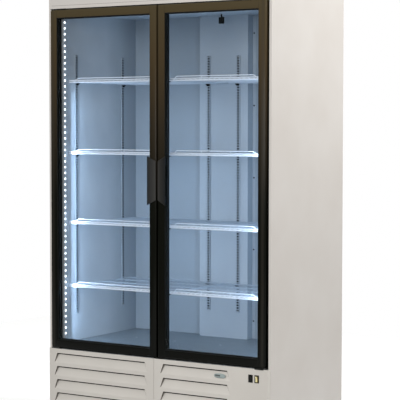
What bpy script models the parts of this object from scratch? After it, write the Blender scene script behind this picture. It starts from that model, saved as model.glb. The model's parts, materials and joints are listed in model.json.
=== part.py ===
"""Upright two-door glass merchandiser: a refrigerated display cabinet for drinks and food.

Metres, +Z up, front facing -Y.  The origin is on the floor, centred under the cabinet.
Two insulated glass doors hang on pins at the outer edges and open like French doors.
"""
import math

import bmesh
import bpy
from mathutils import Matrix, Vector

# ---- Overall cabinet -------------------------------------------------------
CAB_W = 1.200           # outside width of the cabinet
CAB_D = 0.660           # front flange to the back sheet
CAB_H = 2.040           # floor to the top sheet
FOOT_H = 0.035          # levelling feet
SKIN = 0.001            # painted sheet steel
GAP = 0.0003            # clearance between touching pieces
FLANGE_W = 0.012        # front flange folded from each side panel

# ---- Doors -----------------------------------------------------------------
DOOR_MARGIN = 0.020     # cabinet edge to the door's outer edge
DOOR_PROUD = 0.016      # door face in front of the cabinet flange
DOOR_T = 0.030          # frame thickness
DOOR_GAP = 0.008        # between the two doors
MEET_X = 0.021          # meeting line; the left leaf is the wider one
DOOR_LIFT = 0.007       # grille top to the door's lower edge
DOOR_DROP = 0.006       # header to the door's upper edge
FRAME_FACE = 0.036      # face width of stiles and rails
FRAME_BACK = 0.028      # rail width behind the glass
FRAME_LIP = 0.005       # lip in front of the glass
FRAME_ROUND = 0.005     # rounded outer edge of the frame
GLASS_T = 0.020         # insulated glass unit
GLASS_PLAY = 0.001      # glass edge clearance in the rebate
GASKET_W = 0.010
GASKET_INSET = 0.018    # frame edge to the gasket's outer edge
GASKET_END = 0.005      # the same at the top and the bottom

# ---- Hinges ----------------------------------------------------------------
PIN_INSET = 0.015       # door edge to the hinge axis
PIN_R = 0.004
PIN_PLAY = 0.0005
PIN_L = 0.012
HINGE_Y0 = -0.012       # front edge of the hinge plates
TOP_PLATE_W = 0.090
TOP_PLATE_T = 0.003
LOW_PLATE_W = 0.045

# ---- Handles ---------------------------------------------------------------
HANDLE_W = 0.044
HANDLE_TALL = 0.220     # along the glass side
HANDLE_SHORT = 0.174    # along the meeting edge
HANDLE_LIFT = 0.006      # pull's middle above the door's middle
HANDLE_PROUD = 0.010
HANDLE_THIN = 0.004     # thickness at the meeting edge
STOP_W = 0.044          # door stop under the meeting stiles
STOP_PLAY = 0.001
HANDLE_EDGE = 0.001     # door edge to the handle
POCKET_H = 0.140        # finger pocket
POCKET_DEEP = 0.022
POCKET_SKIN = 0.0035

# ---- Header, grille and machine space ----------------------------------------
HEADER_H = 0.074
GRILLE_H = 0.345
GRILLE_PROUD = 0.012
GRILLE_T = 0.0015
GRILLE_ROUND = 0.010
LOUVRE_PITCH = 0.062
LOUVRE_H = 0.045
LOUVRE_TOP = 0.021      # panel top to the first opening
LOUVRE_TAPER = 0.016    # each side, narrower at the top
LOUVRE_REACH = 0.014    # blade's upper edge behind the face
LOUVRE_SLOT = 0.007     # air slot left open above each blade
LOUVRE_MARGIN = 0.034
SWITCH_ZONE = 0.197     # plain area for the switches
SILL_H = 0.018
SILL_Y0 = 0.0025

# ---- Insulated body ----------------------------------------------------------
WALL = 0.052            # side insulation
BACK_WALL = 0.034
FLOOR_WALL = 0.050
CAV_SILL = 0.015        # door bottom to the cavity floor
CAV_HEAD = 0.010        # cavity ceiling to the door top
LINER = 0.001
TRAY_T = 0.0012
BREAKER_Y = 0.022       # face the gaskets close on
BREAKER_T = 0.006
BREAKER_OVER = 0.018    # reach beyond the door's ends
MULLION_W = 0.050
MULLION_D = 0.025
DUCT_W = 0.270
DUCT_D = 0.046

# ---- Shelving ------------------------------------------------------------------
SHELF_SPLIT = (0.169, 0.362, 0.574, 0.790)   # shelf levels as shares of the clear height
PILASTER_LOW = 0.129    # cavity floor to the strip
PILASTER_HIGH = 0.192   # strip to the ceiling
PILASTER_W = 0.020
PILASTER_T = 0.004
PILASTER_FRONT = 0.138
PILASTER_REAR_GAP = 0.114    # liner's back to the middle of the rear strips
PILASTER_DUCT = 0.083   # from the centre line
CLIP_H = 0.010
CLIP_W = 0.012
CLIP_OUT = 0.012
SHELF_SIDE = 0.005      # shelf to the side wall
SHELF_MID = 0.008       # shelf to the meeting line
SHELF_Y0 = 0.075        # front edge behind the flange
SHELF_BACK = 0.006      # shelf to the duct strips
SHELF_ROD = 0.006
SHELF_RIM = 0.008
SHELF_BAYS = 6          # windows across the shelf
SHELF_ROWS = 3
GUARD_RISE = 0.022
GUARD_BACK = 0.018
GUARD_END = 0.035
GUARD_ROD = 0.005

# ---- Lights, probe, switches -----------------------------------------------------
LED_W = 0.028
LED_T = 0.010
LED_Y0 = 0.030
LED_END = 0.020
PROBE_X = 0.045
PROBE_Y = 0.480
PROBE_W = 0.025
PROBE_D = 0.014
PROBE_H = 0.031
PROBE_NECK = 0.014
SWITCH_Z = 0.051        # door bottom to the switch centres
SWITCH_EDGE = 0.062     # cabinet edge to the outer switch
SWITCH_PITCH = 0.031
BEZEL_W = 0.022
BEZEL_H = 0.034
BEZEL_T = 0.002
BEZEL_WALL = 0.002
SWITCH_BODY = 0.018
ROCKER_TILT = math.radians(7)
ROCKER_PLAY = 0.0006
ROCKER_R = 0.0105

# ---- Machinery ---------------------------------------------------------------------
PAN_T = 0.003
FOOT_R = 0.020
FOOT_INSET = 0.055
STEM_R = 0.006
COMP_R = 0.078
COMP_H = 0.190
COMP_X = 0.330
COMP_Y = 0.400
COIL_W = 0.330
COIL_H = 0.240
COIL_D = 0.050
COIL_X = -0.230
COIL_Y = 0.070
FAN_R = 0.105
FAN_D = 0.022
FAN_HUB = 0.026
FAN_BLADES = 5
MOTOR_R = 0.034
MOTOR_L = 0.070
EVAP_H = 0.330
EVAP_Z = 0.060
BLOWER_R = 0.010
BLOWER_Z = 0.470

# ---- Derived levels and planes ---------------------------------------------------------
HALF = CAB_W / 2
FRONT = -DOOR_PROUD - HANDLE_PROUD
FLANGE_Y = -(CAB_D - FRONT) / 2 - FRONT      # puts the footprint's centre on the origin
GRILLE_TOP = FOOT_H + GRILLE_H
DOOR_Z0 = GRILLE_TOP + DOOR_LIFT
HEADER_Z0 = CAB_H - HEADER_H
DOOR_Z1 = HEADER_Z0 - DOOR_DROP
DOOR_X1 = HALF - DOOR_MARGIN
HANDLE_Z = (DOOR_Z0 + DOOR_Z1) / 2 + HANDLE_LIFT
DOOR_BACK = DOOR_T - DOOR_PROUD
PIN_X = DOOR_X1 - PIN_INSET
PIN_Y = DOOR_T / 2 - DOOR_PROUD
CAV_X = HALF - WALL
CAV_Z0 = DOOR_Z0 + CAV_SILL
CAV_Z1 = DOOR_Z1 - CAV_HEAD
CAV_Y1 = CAB_D - BACK_WALL
BREAKER_BACK = BREAKER_Y + BREAKER_T
FOAM_Z0 = CAV_Z0 - FLOOR_WALL
BODY_X = HALF - SKIN - GAP                   # inside of the side panels
BODY_Z1 = CAB_H - SKIN - GAP                 # underside of the top sheet
DUCT_Y = CAV_Y1 - DUCT_D
PILASTER_REAR = CAV_Y1 - PILASTER_REAR_GAP
STRIP_Z0 = CAV_Z0 + PILASTER_LOW
STRIP_Z1 = CAV_Z1 - PILASTER_HIGH
CLEAR_H = CAV_Z1 - CAV_Z0

COLLECTION = "glass_door_merchandiser"
CUTTERS = "glass_door_merchandiser_cutters"


# ---- Scene, materials and shape helpers ----------------------------------------------------
def clear_scene():
    for obj in list(bpy.data.objects):
        bpy.data.objects.remove(obj, do_unlink=True)
    for name in (COLLECTION, CUTTERS):
        group = bpy.data.collections.new(name)
        bpy.context.scene.collection.children.link(group)


def srgb(code):
    """Hex colour as the display shows it, to linear values."""
    out = []
    for i in (0, 2, 4):
        c = int(code[i:i + 2], 16) / 255
        out.append(c / 12.92 if c <= 0.04045 else ((c + 0.055) / 1.055) ** 2.4)
    return (*out, 1.0)


def material(name, code, rough, metal=0.0, clear=0.0):
    mat = bpy.data.materials.new(name)
    mat.use_nodes = True
    shader = mat.node_tree.nodes["Principled BSDF"]
    shader.inputs["Base Color"].default_value = srgb(code)
    shader.inputs["Roughness"].default_value = rough
    shader.inputs["Metallic"].default_value = metal
    shader.inputs["Transmission Weight"].default_value = clear
    mat.diffuse_color = (*srgb(code)[:3], 1.0 - 0.7 * clear)
    return mat


def place(obj, group=COLLECTION):
    for old in list(obj.users_collection):
        old.objects.unlink(obj)
    bpy.data.collections[group].objects.link(obj)
    return obj


def front_y(y):
    """World Y of a distance behind the front flange."""
    return FLANGE_Y + y


def box(name, x, y, z, mat=None, bevel=0.0):
    """Box between limits; y is measured from the front flange."""
    lo = Vector((min(x), front_y(min(y)), min(z)))
    hi = Vector((max(x), front_y(max(y)), max(z)))
    mesh = bpy.data.meshes.new(name)
    bm = bmesh.new()
    bmesh.ops.create_cube(bm, size=1.0)
    bmesh.ops.scale(bm, vec=hi - lo, verts=bm.verts)
    bm.to_mesh(mesh)
    bm.free()
    obj = bpy.data.objects.new(name, mesh)
    obj.location = (lo + hi) / 2
    place(obj)
    if mat:
        mesh.materials.append(mat)
    if bevel:
        add_bevel(obj, bevel)
    return obj


def add_bevel(obj, width, segments=1):
    mod = obj.modifiers.new("edges", "BEVEL")
    mod.width = width
    mod.segments = segments
    mod.limit_method = "ANGLE"
    mod.angle_limit = math.radians(40)
    return mod


AXES = {
    "X": Matrix(((0, 0, 1), (1, 0, 0), (0, 1, 0))),
    "Y": Matrix(((0, 1, 0), (0, 0, 1), (1, 0, 0))),
    "Z": Matrix.Identity(3),
}


def prism(name, outline, axis, lo, hi, mat=None):
    """Flat outline extruded along an axis.

    The outline is (y, z) for X, (z, x) for Y and (x, y) for Z, in world metres.
    """
    curve = bpy.data.curves.new(name, "CURVE")
    curve.dimensions = "2D"
    curve.fill_mode = "BOTH"
    curve.extrude = (hi - lo) / 2
    spline = curve.splines.new("POLY")
    spline.points.add(len(outline) - 1)
    for point, (u, v) in zip(spline.points, outline):
        point.co = (u, v, 0, 1)
    spline.use_cyclic_u = True
    obj = place(bpy.data.objects.new(name + "_outline", curve))
    turn = AXES[axis].to_4x4()
    obj.matrix_world = turn @ Matrix.Translation((0, 0, (lo + hi) / 2))
    return as_mesh(obj, name, mat)


def as_mesh(curve_obj, name, mat):
    """Turn a curve object into a closed mesh object at the same place."""
    bpy.context.view_layer.update()
    graph = bpy.context.evaluated_depsgraph_get()
    mesh = bpy.data.meshes.new_from_object(curve_obj.evaluated_get(graph))
    mesh.name = name
    bm = bmesh.new()
    bm.from_mesh(mesh)
    bmesh.ops.remove_doubles(bm, verts=bm.verts, dist=1e-6)
    bmesh.ops.dissolve_limit(bm, angle_limit=1e-3, verts=bm.verts, edges=bm.edges)
    bmesh.ops.recalc_face_normals(bm, faces=bm.faces)
    bm.to_mesh(mesh)
    bm.free()
    obj = place(bpy.data.objects.new(name, mesh))
    obj.matrix_world = curve_obj.matrix_world.copy()
    bpy.data.objects.remove(curve_obj, do_unlink=True)
    mesh.materials.clear()
    if mat:
        mesh.materials.append(mat)
    return obj


def cylinder(name, centre, radius, length, axis="Z", sides=24, mat=None):
    """Cylinder about an axis; centre is (x, y behind the flange, z)."""
    mesh = bpy.data.meshes.new(name)
    bm = bmesh.new()
    bmesh.ops.create_cone(bm, cap_ends=True, segments=sides, radius1=radius,
                          radius2=radius, depth=length)
    bm.to_mesh(mesh)
    bm.free()
    obj = bpy.data.objects.new(name, mesh)
    obj.location = (centre[0], front_y(centre[1]), centre[2])
    if axis == "X":
        obj.rotation_euler = (0, math.pi / 2, 0)
    if axis == "Y":
        obj.rotation_euler = (math.pi / 2, 0, 0)
    place(obj)
    smooth(obj)
    if mat:
        mesh.materials.append(mat)
    return obj


def smooth(obj):
    obj.data.shade_smooth()
    obj.data.set_sharp_from_angle(angle=math.radians(35))


def turned(name, profile, centre, mat, steps=24):
    """Solid of revolution about Z from (radius, height) points, top to bottom."""
    mesh = bpy.data.meshes.new(name)
    bm = bmesh.new()
    verts = [bm.verts.new((r, 0, z)) for r, z in profile]
    for a, b in zip(verts, verts[1:]):
        bm.edges.new((a, b))
    bm.to_mesh(mesh)
    bm.free()
    obj = place(bpy.data.objects.new(name, mesh))
    obj.location = (centre[0], front_y(centre[1]), centre[2])
    mod = obj.modifiers.new("turn", "SCREW")
    mod.steps = steps
    mod.render_steps = steps
    mod.use_merge_vertices = True
    mod.merge_threshold = 0.0001
    mod.use_smooth_shade = True
    if mat:
        mesh.materials.append(mat)
    return obj


def combine(obj, other, operation):
    """Boolean with the exact solver; the operand is kept as a hidden guide."""
    mod = obj.modifiers.new(other.name, "BOOLEAN")
    mod.operation = operation
    mod.solver = "EXACT"
    mod.object = other
    other.hide_render = True
    other.display_type = "WIRE"
    place(other, CUTTERS)
    return obj


def cut(obj, *others):
    for other in others:
        combine(obj, other, "DIFFERENCE")
    return obj


def join(obj, *others):
    for other in others:
        combine(obj, other, "UNION")
    return obj


def bake(obj):
    """Fix the modifiers into the mesh, so copies can share it."""
    bpy.context.view_layer.update()
    graph = bpy.context.evaluated_depsgraph_get()
    mesh = bpy.data.meshes.new_from_object(obj.evaluated_get(graph))
    guides = [m.object for m in obj.modifiers if m.type == "BOOLEAN"]
    obj.modifiers.clear()
    obj.data = mesh
    for guide in guides:
        bpy.data.objects.remove(guide, do_unlink=True)
    return obj


def pivot(name, x, y, z, children):
    """Empty on a joint's axis that carries its moving pieces."""
    empty = bpy.data.objects.new(name, None)
    empty.empty_display_size = 0.05
    empty.location = (x, front_y(y), z)
    place(empty)
    bpy.context.view_layer.update()
    for child in children:
        child.parent = empty
        child.matrix_parent_inverse = empty.matrix_world.inverted()
    return empty


# ---- Cabinet shell ------------------------------------------------------------------------
def side_panel(name, side, paint):
    """Sheet side with a front flange that folds back along the breaker strip."""
    back = BREAKER_BACK
    inner = HALF - FLANGE_W
    pts = [
        (HALF, 0), (HALF, CAB_D), (HALF - SKIN, CAB_D), (HALF - SKIN, SKIN),
        (inner + SKIN, SKIN), (inner + SKIN, back), (inner, back), (inner, 0),
    ]
    outline = [(side * x, front_y(y)) for x, y in pts]
    return prism(name, outline, "Z", FOOT_H, BODY_Z1, paint)


def cabinet_shell(paint, zinc):
    side_panel("left_side_panel", -1, paint)
    side_panel("right_side_panel", 1, paint)
    box("top_panel", (-HALF, HALF), (0, CAB_D), (CAB_H - SKIN, CAB_H), paint)
    back = box("back_panel", (-BODY_X, BODY_X), (CAB_D - SKIN, CAB_D), (FOOT_H, BODY_Z1), zinc)
    slot_h = 0.012
    rows = int((GRILLE_H - 0.10) / 0.035)
    for side in (-1, 1):
        for i in range(rows):
            z = FOOT_H + 0.06 + 0.035 * i
            x = side * HALF / 2
            cut(back, box("back_vent", (x - 0.16, x + 0.16),
                          (CAB_D - 0.01, CAB_D + 0.01), (z, z + slot_h)))
    lip = BREAKER_Y - GAP
    z0 = HEADER_Z0
    pts = [(0, z0), (lip, z0), (lip, z0 + SKIN), (SKIN, z0 + SKIN), (SKIN, BODY_Z1), (0, BODY_Z1)]
    inner = HALF - FLANGE_W - GAP
    prism("header_panel", [(front_y(y), z) for y, z in pts], "X", -inner, inner, paint)


def base(zinc, rubber):
    wide, slim = BODY_X, HALF - FLANGE_W - GAP
    y0, y1, y2 = 0, BREAKER_BACK + GAP, CAB_D - SKIN - GAP
    pts = [(-slim, y0), (slim, y0), (slim, y1), (wide, y1), (wide, y2), (-wide, y2),
           (-wide, y1), (-slim, y1)]
    prism("base_pan", [(u, front_y(v)) for u, v in pts], "Z", FOOT_H, FOOT_H + PAN_T, zinc)
    pts = [(0, FOOT_H - GAP), (STEM_R, FOOT_H - GAP), (STEM_R, 0.010), (FOOT_R * 0.7, 0.008),
           (FOOT_R, 0.004), (FOOT_R, 0), (0, 0)]
    for label, sx in (("left", -1), ("right", 1)):
        for place_name, y in (("front", FOOT_INSET), ("rear", CAB_D - FOOT_INSET)):
            turned(f"foot_{place_name}_{label}", pts, (sx * (HALF - FOOT_INSET), y, 0), rubber, 20)
    x = HALF - FLANGE_W - GAP
    box("sill_rail", (-x, x), (SILL_Y0, BREAKER_Y - GAP), (GRILLE_TOP - SILL_H, GRILLE_TOP), zinc)


def insulated_body(foam, white, steel, black):
    reach = LINER + GAP
    body = box("foam_insulation", (-BODY_X, BODY_X), (BREAKER_BACK + GAP, CAB_D - SKIN - GAP),
               (FOAM_Z0, BODY_Z1 - GAP), foam)
    cut(body, box("foam_pocket", (-CAV_X - reach, CAV_X + reach), (0, CAV_Y1 + reach),
                  (CAV_Z0 - reach, CAV_Z1 + reach)))
    notch = BREAKER_BACK - BREAKER_T
    liner = box("inner_liner", (-CAV_X - LINER, CAV_X + LINER), (BREAKER_BACK + GAP, CAV_Y1 + LINER),
                (CAV_Z0 - LINER, CAV_Z1 + LINER), white)
    cut(liner, box("liner_pocket", (-CAV_X, CAV_X), (notch, CAV_Y1), (CAV_Z0, CAV_Z1)))
    box("floor_tray", (-CAV_X + GAP, CAV_X - GAP), (BREAKER_BACK + GAP, CAV_Y1 - GAP),
        (CAV_Z0 + GAP, CAV_Z0 + GAP + TRAY_T), steel)
    x = HALF - FLANGE_W - GAP
    breaker = box("breaker_frame", (-x, x), (BREAKER_Y, BREAKER_BACK),
                  (DOOR_Z0 - BREAKER_OVER, DOOR_Z1 + BREAKER_OVER), black)
    cut(breaker, box("breaker_opening", (-CAV_X, CAV_X), (0, BREAKER_BACK + 0.01),
                     (CAV_Z0, CAV_Z1)))
    floor = CAV_Z0 + 2 * GAP + TRAY_T
    box("centre_mullion", (MEET_X - MULLION_W / 2, MEET_X + MULLION_W / 2), (BREAKER_Y, BREAKER_Y + MULLION_D),
        (floor, CAV_Z1 - GAP), black)
    half = DUCT_W / 2
    back = CAV_Y1 - GAP
    pts = [(-half, back), (-half, DUCT_Y), (half, DUCT_Y), (half, back), (half - SKIN, back),
           (half - SKIN, DUCT_Y + SKIN), (-half + SKIN, DUCT_Y + SKIN), (-half + SKIN, back)]
    prism("rear_air_duct", [(u, front_y(v)) for u, v in pts], "Z", floor, CAV_Z1 - GAP, white)


# ---- Shelving --------------------------------------------------------------------------------
def shelf_levels():
    return [CAV_Z0 + share * CLEAR_H for share in SHELF_SPLIT]


def pilaster(name, x, y, steel, clip_x, clip_y):
    """Slotted strip with a clip under each shelf level."""
    strip = box(name, x, y, (STRIP_Z0, STRIP_Z1), steel)
    for z in shelf_levels():
        top = z - GAP
        join(strip, box(name + "_clip", clip_x, clip_y, (top - CLIP_H, top)))
    return strip


def pilasters(steel):
    w = PILASTER_W / 2
    c = CLIP_W / 2
    bite = PILASTER_T / 2
    for label, side in (("left", -1), ("right", 1)):
        wall = side * (CAV_X - GAP)
        face = side * (CAV_X - GAP - PILASTER_T)
        root = face + side * bite
        tip = face - side * CLIP_OUT
        for spot, y in (("front", PILASTER_FRONT), ("rear", PILASTER_REAR)):
            pilaster(f"pilaster_{label}_{spot}", (wall, face), (y - w, y + w), steel,
                     (root, tip), (y - c, y + c))
        x = side * PILASTER_DUCT
        back = DUCT_Y - GAP
        pilaster(f"pilaster_duct_{label}", (x - w, x + w), (back - PILASTER_T, back), steel,
                 (x - c, x + c), (back - bite, back - PILASTER_T - CLIP_OUT - SHELF_BACK))
    front = BREAKER_Y + MULLION_D + GAP
    reach = SHELF_MID + CLIP_OUT
    pilaster("pilaster_mullion", (MEET_X - w, MEET_X + w), (front, front + PILASTER_T), steel,
             (MEET_X - reach, MEET_X + reach), (front + bite, SHELF_Y0 + CLIP_OUT))


def shelf_mesh(name, x0, x1, white):
    """Wire shelf: rim, cross bars and a raised guard along the front."""
    y1 = DUCT_Y - GAP - PILASTER_T - SHELF_BACK
    shelf = box(name, (x0, x1), (SHELF_Y0, y1), (0, SHELF_ROD), white)
    rows = SHELF_ROWS
    wide = (x1 - x0 - SHELF_RIM * (SHELF_BAYS + 1)) / SHELF_BAYS
    deep = (y1 - SHELF_Y0 - SHELF_RIM * (rows + 1)) / rows
    for i in range(SHELF_BAYS):
        x = x0 + SHELF_RIM + i * (wide + SHELF_RIM)
        for j in range(rows):
            y = SHELF_Y0 + SHELF_RIM + j * (deep + SHELF_RIM)
            cut(shelf, box("shelf_window", (x, x + wide), (y, y + deep), (-0.01, 0.02)))
    y = SHELF_Y0 + GUARD_BACK
    rail = box("guard", (x0 + GUARD_END, x1 - GUARD_END), (y, y + GUARD_ROD),
               (GUARD_RISE - GUARD_ROD, GUARD_RISE))
    join(shelf, rail)
    for i in range(SHELF_BAYS - 1):
        x = x0 + (i + 1) * (wide + SHELF_RIM)
        z = GUARD_RISE - GUARD_ROD / 2
        join(shelf, box("post", (x + 0.002, x + 0.006), (y + 0.0005, y + GUARD_ROD - 0.0005),
                        (SHELF_ROD / 2, z)))
    return bake(shelf)


def shelves(white):
    outer = CAV_X - SHELF_SIDE
    spans = (("left", -outer, MEET_X - SHELF_MID), ("right", MEET_X + SHELF_MID, outer))
    for label, x0, x1 in spans:
        first = None
        for i, z in enumerate(shelf_levels()):
            name = f"shelf_{label}_{i + 1}"
            if first is None:
                first = shelf_mesh(name, x0, x1, white)
                shelf = first
            else:
                shelf = place(bpy.data.objects.new(name, first.data))
                shelf.location = first.location
            shelf.location.z = z + SHELF_ROD / 2


# ---- Lights, probe, switches --------------------------------------------------------------------
def small_fittings(white, black):
    for label, side in (("left", -1), ("right", 1)):
        x = side * (CAV_X - GAP)
        box(f"led_bar_{label}", (x, x - side * LED_T), (LED_Y0, LED_Y0 + LED_W),
            (CAV_Z0 + LED_END, CAV_Z1 - LED_END), white)
    top = CAV_Z1 - GAP
    z1 = top - PROBE_NECK
    probe = box("temperature_probe", (PROBE_X - PROBE_W / 2, PROBE_X + PROBE_W / 2),
                (PROBE_Y, PROBE_Y + PROBE_D), (z1 - PROBE_H, z1), black)
    neck = cylinder("probe_neck", (PROBE_X, PROBE_Y + PROBE_D / 2, top - PROBE_NECK / 2 - 0.002),
                    0.004, PROBE_NECK + 0.004, "Z", 12)
    neck.location.z = top - (PROBE_NECK + 0.004) / 2
    join(probe, neck)


def switch_centres():
    z = DOOR_Z0 - SWITCH_Z
    return {"power": (HALF - SWITCH_EDGE - SWITCH_PITCH, z), "light": (HALF - SWITCH_EDGE, z)}


def switch(label, x, z, black, lens):
    """Rocker switch: a bezel with a body behind the panel, and a tilting rocker."""
    face = -GRILLE_PROUD
    housing = box(f"switch_housing_{label}", (x - BEZEL_W / 2, x + BEZEL_W / 2),
                  (face - BEZEL_T, face - GAP), (z - BEZEL_H / 2, z + BEZEL_H / 2), black)
    w = BEZEL_W / 2 - BEZEL_WALL
    h = BEZEL_H / 2 - BEZEL_WALL
    join(housing, box("switch_body", (x - w, x + w), (face - BEZEL_T / 2, face + SWITCH_BODY),
                      (z - h, z + h)))
    w -= BEZEL_WALL
    h -= BEZEL_WALL
    cut(housing, box("switch_pocket", (x - w, x + w), (face - 0.01, face + SWITCH_BODY - 0.002),
                     (z - h, z + h)))
    axis_y = face + 0.002
    rocker = rocker_body(f"rocker_{label}", x, axis_y, z, w - ROCKER_PLAY, h, lens)
    return housing, rocker


def rocker_body(name, x, axis_y, z, half_w, half_h, lens):
    """V-faced rocker, tilted about its own X axis to the on position."""
    tall = half_h - ROCKER_PLAY
    crest = 0.0055
    valley = 0.0035
    pts = [(-crest, tall), (-valley, 0), (-crest, -tall)]
    for i in range(5):
        a = math.radians(-60 + 30 * i)
        pts.append((ROCKER_R * 0.9 * math.cos(a), ROCKER_R * math.sin(a)))
    body = prism(name, pts, "X", -half_w, half_w, lens)
    body.matrix_world = Matrix.Identity(4)
    body.data.transform(AXES["X"].to_4x4())
    body.location = (x, front_y(axis_y), z)
    body.rotation_euler = (ROCKER_TILT, 0, 0)
    return body


# ---- Lower grille ------------------------------------------------------------------------------------
def grille(name, x0, x1, round_left, paint, louvre_x):
    """Pressed panel: a rounded outer corner, returned edges and inclined louvre blades."""
    y0 = -GRILLE_PROUD
    y1 = -GAP
    t = GRILLE_T
    outer = corner_path(x0, x1, y0, y1, GRILLE_ROUND, round_left)
    inner = corner_path(x0 + t, x1 - t, y0 + t, y1, GRILLE_ROUND - t, round_left)
    outline = outer + list(reversed(inner))
    panel = prism(name, [(x, front_y(y)) for x, y in outline], "Z", FOOT_H, GRILLE_TOP - GAP, paint)
    count = int((GRILLE_H - LOUVRE_TOP - 0.012) / LOUVRE_PITCH + 0.35)
    for i in range(count):
        top = GRILLE_TOP - LOUVRE_TOP - i * LOUVRE_PITCH
        louvre(panel, louvre_x, top, y0)
    return panel


def corner_path(x0, x1, y0, y1, r, round_left):
    """Open path around the front of the panel, from its left return to its right one."""
    arc = [(math.sin(math.radians(15 * i)), math.cos(math.radians(15 * i))) for i in range(7)]
    if round_left:
        bend = [(x0 + r - r * c, y0 + r - r * s) for s, c in arc]
        return [(x0, y1)] + bend + [(x1, y0), (x1, y1)]
    bend = [(x1 - r + r * s, y0 + r - r * c) for s, c in arc]
    return [(x0, y1), (x0, y0)] + bend + [(x1, y1)]


def louvre(panel, span, top, y0):
    """Trapezoid opening with a blade that slopes back from its lower edge."""
    a, b = span
    low = top - LOUVRE_H
    opening = [(top, a + LOUVRE_TAPER), (top, b - LOUVRE_TAPER), (low, b), (low, a)]
    cut(panel, prism("louvre_cut", opening, "Y", front_y(y0 - 0.004), front_y(y0 + 0.004)))
    t = GRILLE_T
    depth = y0 + LOUVRE_REACH
    crest = top - LOUVRE_SLOT
    blade = [(y0, low), (y0, low - 0.003), (y0 + t, low - 0.003), (depth, crest - 0.002),
             (depth, crest), (depth - t, crest)]
    blade = [(front_y(y), z) for y, z in blade]
    join(panel, prism("louvre_blade", blade, "X", a, b))


def grilles_and_switches(paint, black, amber):
    seam = 0.0006
    left = (-HALF, -seam)
    right = (seam, HALF)
    grille("grille_left", *left, True, paint, (left[0] + LOUVRE_MARGIN, left[1] - LOUVRE_MARGIN))
    panel = grille("grille_right", *right, False, paint,
                   (right[0] + LOUVRE_MARGIN, right[1] - SWITCH_ZONE))
    pieces = []
    for label, (x, z) in switch_centres().items():
        w = BEZEL_W / 2 - BEZEL_WALL + GAP
        h = BEZEL_H / 2 - BEZEL_WALL + GAP
        cut(panel, box("switch_hole", (x - w, x + w), (-GRILLE_PROUD - 0.004, -GRILLE_PROUD + 0.004),
                       (z - h, z + h)))
        pieces.append(switch(label, x, z, black, black if label == "power" else amber))
    return pieces


# ---- Doors --------------------------------------------------------------------------------------------
def hinge_plates(label, side, black):
    outer = side * (DOOR_X1 + 0.002)
    back = BREAKER_Y - GAP
    pin_x = side * PIN_X
    top = HEADER_Z0 - GAP
    plate = box(f"hinge_top_{label}", (outer, outer - side * TOP_PLATE_W), (HINGE_Y0, back),
                (top - TOP_PLATE_T, top), black)
    reach = top - TOP_PLATE_T / 2 - (DOOR_Z1 - PIN_L)
    join(plate, cylinder("top_pin", (pin_x, PIN_Y, DOOR_Z1 - PIN_L + reach / 2), PIN_R, reach,
                         "Z", 16))
    low0 = GRILLE_TOP + GAP
    low1 = DOOR_Z0 - GAP
    plate = box(f"hinge_bottom_{label}", (outer, outer - side * LOW_PLATE_W), (HINGE_Y0, back),
                (low0, low1), black)
    reach = DOOR_Z0 + PIN_L - (low0 + low1) / 2
    join(plate, cylinder("low_pin", (pin_x, PIN_Y, DOOR_Z0 + PIN_L - reach / 2), PIN_R, reach,
                         "Z", 16))


def door_stop(black):
    """Block on the sill that both meeting stiles close over."""
    box("door_stop", (MEET_X - STOP_W / 2, MEET_X + STOP_W / 2), (HINGE_Y0, BREAKER_Y - GAP),
        (GRILLE_TOP + GAP, DOOR_Z0 - STOP_PLAY), black, 0.001)


def door(label, side, black, glass, rubber, grip):
    """Framed insulated glass door hung on two pins at its outer edge."""
    x0, x1 = meeting_edge(side), side * DOOR_X1
    f0, f1 = -DOOR_PROUD, DOOR_BACK
    frame = box(f"{label}_door_frame", (x0, x1), (f0, f1), (DOOR_Z0, DOOR_Z1), black)
    add_bevel(frame, FRAME_ROUND, 2)
    face = FRAME_FACE
    cut(frame, box("door_opening", (x0 + side * face, x1 - side * face), (f0 - 0.01, f1 + 0.01),
                   (DOOR_Z0 + face, DOOR_Z1 - face)))
    rim = FRAME_BACK
    cut(frame, box("door_rebate", (x0 + side * rim, x1 - side * rim), (f0 + FRAME_LIP, f1 + 0.01),
                   (DOOR_Z0 + rim, DOOR_Z1 - rim)))
    for z in (DOOR_Z0, DOOR_Z1):
        depth = 2 * (PIN_L + 0.001)
        cut(frame, cylinder("pin_hole", (side * PIN_X, PIN_Y, z), PIN_R + PIN_PLAY, depth, "Z", 16))
    edge = rim + GLASS_PLAY
    cut(frame, finger_space(side, f0 + FRAME_LIP))
    pane_y = f0 + FRAME_LIP + GAP
    pane = box(f"{label}_door_glass", (x0 + side * edge, x1 - side * edge),
               (pane_y, pane_y + GLASS_T), (DOOR_Z0 + edge, DOOR_Z1 - edge), glass)
    seal = gasket(label, side, rubber)
    handle = pull(label, side, grip)
    pivot(f"{label}_door_axis", side * PIN_X, PIN_Y, DOOR_Z0, [frame, pane, seal, handle])


def meeting_edge(side):
    return MEET_X + side * DOOR_GAP / 2


def finger_space(side, back):
    """Pocket between the pull's skin and the glass, open to the glass side."""
    mid = HANDLE_Z
    x1 = meeting_edge(side) + side * (HANDLE_EDGE + HANDLE_W)
    front = -DOOR_PROUD - HANDLE_PROUD + POCKET_SKIN
    return box("finger_pocket", (x1 - side * POCKET_DEEP, x1 + side * 0.01), (front, back),
               (mid - POCKET_H / 2, mid + POCKET_H / 2))


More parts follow.
